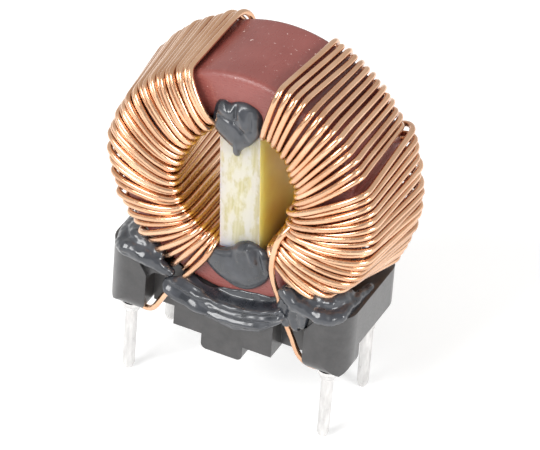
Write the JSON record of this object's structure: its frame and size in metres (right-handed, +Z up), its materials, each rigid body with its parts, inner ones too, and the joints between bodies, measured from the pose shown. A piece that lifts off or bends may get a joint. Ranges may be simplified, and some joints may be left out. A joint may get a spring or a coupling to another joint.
{
  "type": "toroidal inductor",
  "caption": "Upright common-mode choke: coated ferrite ring with copper wire windings either side of a divider board, glued in a moulded header with board pins.",
  "frame": {"origin": "centre of the rectangle of four pins, at the level of the pin tips", "axes": "+X along the long side of the header, Y along the axis of the ring with -Y towards the pictured front, +Z up from the pin tips to the top of the ring"},
  "size_m": [0.0248, 0.0122, 0.0328],
  "materials": {
    "core_coat": "ferrite under a satin maroon epoxy coat",
    "copper_wire": "enamelled copper, bright",
    "fibreglass": "cut fibreglass board, translucent yellow",
    "header_plastic": "black moulding, slightly dusty",
    "tinned_pin": "tinned, dull silver",
    "solder": "bright solder",
    "glue": "cured black epoxy, glossy"
  },
  "bodies": {
    "root": {"core": "core_coat", "winding_left": "copper_wire", "winding_right": "copper_wire", "divider": "fibreglass", "base": "header_plastic", "pin_front_left": "tinned_pin", "pin_front_right": "tinned_pin", "pin_rear_left": "tinned_pin", "pin_rear_right": "tinned_pin", "solder_front_left": "solder", "solder_front_right": "solder", "solder_rear_left": "solder", "solder_rear_right": "solder", "bead_top_front": "glue", "bead_bottom_front": "glue", "bead_top_rear": "glue", "bead_bottom_rear": "glue", "adhesive_front": "glue", "adhesive_rear": "glue", "seat_glue_left": "glue", "seat_glue_right": "glue"}
  },
  "joints": []
}
